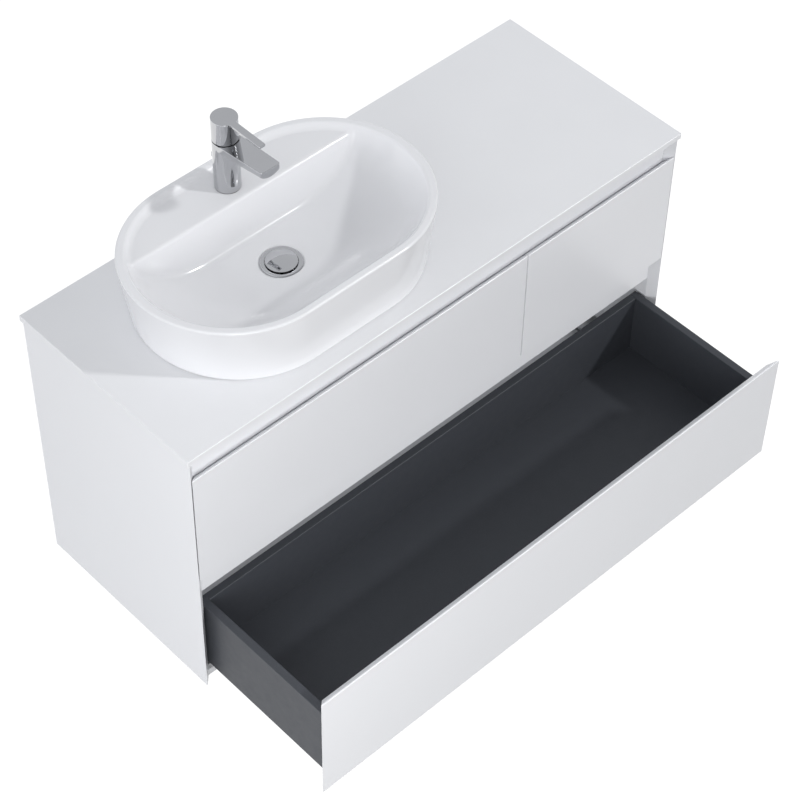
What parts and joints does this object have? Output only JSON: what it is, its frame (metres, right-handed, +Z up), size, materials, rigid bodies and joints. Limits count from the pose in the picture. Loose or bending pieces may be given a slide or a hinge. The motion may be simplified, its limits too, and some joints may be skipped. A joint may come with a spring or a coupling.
{
  "type": "vessel sink on vanity",
  "caption": "Wall-hung white vanity with grip-channel drawers, dark drawer boxes, an oval vessel basin with a tap ledge and a lever mixer.",
  "frame": {"origin": "on the wall plane, at the centre of the rectangle of the four wall screws; the worktop's upper face is 85 mm above it", "axes": "+Z up, +X to the right seen from the front, +Y into the wall; the drawers open along -Y"},
  "size_m": [1.2, 0.767, 0.917],
  "materials": {
    "white_lacquer": "satin white lacquer on board",
    "worktop_laminate": "satin white laminate",
    "anthracite_board": "matt anthracite melamine with edge band",
    "zinc_steel": "zinc plated",
    "chrome": "polished chrome",
    "white_plastic": "moulded white plastic",
    "grey_plastic": "moulded grey plastic",
    "glazed_ceramic": "white gloss glaze",
    "sealant": "white sanitary sealant",
    "rubber": "black rubber",
    "brass": "turned brass"
  },
  "bodies": {
    "cabinet": {"side_panel_left": "white_lacquer", "side_panel_right": "white_lacquer", "bottom_panel": "white_lacquer", "mid_stretcher": "white_lacquer", "top_back_rail": "white_lacquer", "bottom_back_rail": "white_lacquer", "top_front_rail": "white_lacquer", "mid_front_rail": "white_lacquer", "centre_divider": "white_lacquer", "worktop": "worktop_laminate", "runner_rails": "zinc_steel", "cabinet_hangers": "zinc_steel", "wall_plates": "zinc_steel", "carcass_cams": "zinc_steel", "tap_fixings": "zinc_steel", "tap_body": "chrome", "waste_body": "chrome", "trap_head": "white_plastic", "trap_cup": "white_plastic", "trap_nuts": "white_plastic", "outlet_pipe": "white_plastic", "tailpiece": "white_plastic", "cartridge": "grey_plastic", "waste_fixings": "grey_plastic", "aerator": "grey_plastic", "basin": "glazed_ceramic", "basin_seal": "sealant", "tap_base_seal": "rubber", "inlet_tails": "brass"},
    "lower_drawer": {"lower_front": "white_lacquer", "lower_side_left": "anthracite_board", "lower_side_right": "anthracite_board", "lower_back": "anthracite_board", "lower_floor": "anthracite_board", "lower_runner_slides": "zinc_steel"},
    "lower_carriages": {"lower_runner_carriages": "zinc_steel"},
    "upper_left_drawer": {"upper_left_front": "white_lacquer", "upper_left_side_left": "anthracite_board", "upper_left_side_right": "anthracite_board", "upper_left_back": "anthracite_board", "upper_left_floor": "anthracite_board", "upper_left_cutout_walls": "anthracite_board", "upper_left_runner_slides": "zinc_steel"},
    "upper_left_carriages": {"upper_left_runner_carriages": "zinc_steel"},
    "upper_right_drawer": {"upper_right_front": "white_lacquer", "upper_right_side_left": "anthracite_board", "upper_right_side_right": "anthracite_board", "upper_right_back": "anthracite_board", "upper_right_floor": "anthracite_board", "upper_right_runner_slides": "zinc_steel"},
    "upper_right_carriages": {"upper_right_runner_carriages": "zinc_steel"},
    "tap_swivel": {"cartridge_swivel": "grey_plastic", "lever_pin": "zinc_steel"},
    "tap_lever": {"lever_handle": "chrome", "lever_stem": "brass", "lever_screw": "zinc_steel"},
    "lift_rod": {"lift_rod": "chrome", "lift_strap": "zinc_steel"},
    "pivot_rod": {"pivot_rod": "zinc_steel"},
    "plug": {"plug": "chrome"}
  },
  "joints": [
    {"name": "lower_drawer_slide", "type": "slide", "parent": "cabinet", "child": "lower_drawer", "axis": [0, -1, 0], "range_m": [-0.315, 0.02]},
    {"name": "lower_carriage_slide", "type": "slide", "parent": "cabinet", "child": "lower_carriages", "axis": [0, -1, 0], "range_m": [-0.1575, 0.01]},
    {"name": "upper_left_drawer_slide", "type": "slide", "parent": "cabinet", "child": "upper_left_drawer", "axis": [0, -1, 0], "range_m": [0, 0.335]},
    {"name": "upper_left_carriage_slide", "type": "slide", "parent": "cabinet", "child": "upper_left_carriages", "axis": [0, -1, 0], "range_m": [0, 0.1675]},
    {"name": "upper_right_drawer_slide", "type": "slide", "parent": "cabinet", "child": "upper_right_drawer", "axis": [0, -1, 0], "range_m": [0, 0.335]},
    {"name": "upper_right_carriage_slide", "type": "slide", "parent": "cabinet", "child": "upper_right_carriages", "axis": [0, -1, 0], "range_m": [0, 0.1675]},
    {"name": "lever_turn", "type": "hinge", "parent": "cabinet", "child": "tap_swivel", "pos_m": [-0.199, -0.093, 0.325], "axis": [0, 0, 1], "range_deg": [-45, 45]},
    {"name": "lever_lift", "type": "hinge", "parent": "tap_swivel", "child": "tap_lever", "pos_m": [-0.199, -0.087, 0.329], "axis": [-1, 0, 0], "range_deg": [0, 18]},
    {"name": "lift_rod_slide", "type": "slide", "parent": "cabinet", "child": "lift_rod", "axis": [0, 0, 1], "range_m": [0, 0.04]},
    {"name": "pivot_rod_swing", "type": "hinge", "parent": "cabinet", "child": "pivot_rod", "pos_m": [-0.199, -0.214, 0.01], "axis": [1, 0, 0], "range_deg": [0, 15.2]},
    {"name": "plug_slide", "type": "slide", "parent": "cabinet", "child": "plug", "axis": [0, 0, 1], "range_m": [-0.0046, 0]}
  ],
  "couplings": [
    {"joint": "lower_carriage_slide", "follows": "lower_drawer_slide", "ratio": 0.5},
    {"joint": "upper_left_carriage_slide", "follows": "upper_left_drawer_slide", "ratio": 0.5},
    {"joint": "upper_right_carriage_slide", "follows": "upper_right_drawer_slide", "ratio": 0.5},
    {"joint": "pivot_rod_swing", "follows": "lift_rod_slide", "rad_per_m": 6.579},
    {"joint": "plug_slide", "follows": "lift_rod_slide", "ratio": -0.112}
  ]
}
